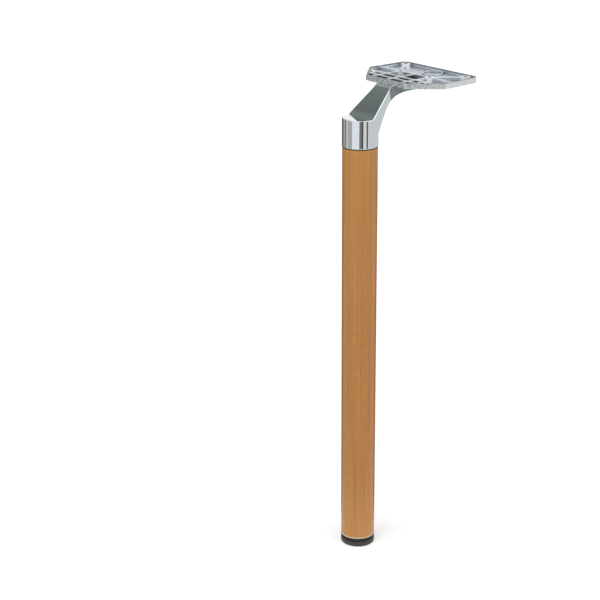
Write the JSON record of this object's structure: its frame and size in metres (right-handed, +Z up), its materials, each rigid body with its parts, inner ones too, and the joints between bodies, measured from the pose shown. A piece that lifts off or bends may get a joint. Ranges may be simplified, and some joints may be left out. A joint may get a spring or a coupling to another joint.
{
  "type": "table leg",
  "caption": "Round wood-look table leg with a polished cast bracket that leans out to a ribbed screw-on plate, and a screw-in levelling foot.",
  "frame": {"origin": "centre of the foot's underside, on the leg tube's axis, with the foot screwed in as in the picture", "axes": "+Z up along the leg tube, +X from the leg towards the mounting plate"},
  "size_m": [0.1795, 0.1558, 0.7],
  "materials": {
    "polished_casting": "polished die casting, as-cast inside the plate",
    "cherry_tube": "cherry wood-grain film, satin",
    "black_plastic": "moulded, lightly textured",
    "zinc_steel": "zinc plated"
  },
  "bodies": {
    "leg": {"mounting_bracket": "polished_casting", "leg_tube": "cherry_tube", "tube_plug": "black_plastic", "plug_nut": "zinc_steel"},
    "stud": {"adjuster_stud": "zinc_steel"},
    "foot": {"foot_pad": "black_plastic"}
  },
  "joints": [
    {"name": "foot_travel", "type": "slide", "parent": "leg", "child": "stud", "axis": [0, 0, -1], "range_m": [-0.0008, 0.012]},
    {"name": "foot_turn", "type": "hinge", "parent": "stud", "child": "foot", "pos_m": [0, 0, 0], "axis": [0, 0, -1], "range_deg": [-230.4, 3456]}
  ],
  "couplings": [
    {"joint": "foot_travel", "follows": "foot_turn", "m_per_rad": 0.00019894}
  ]
}
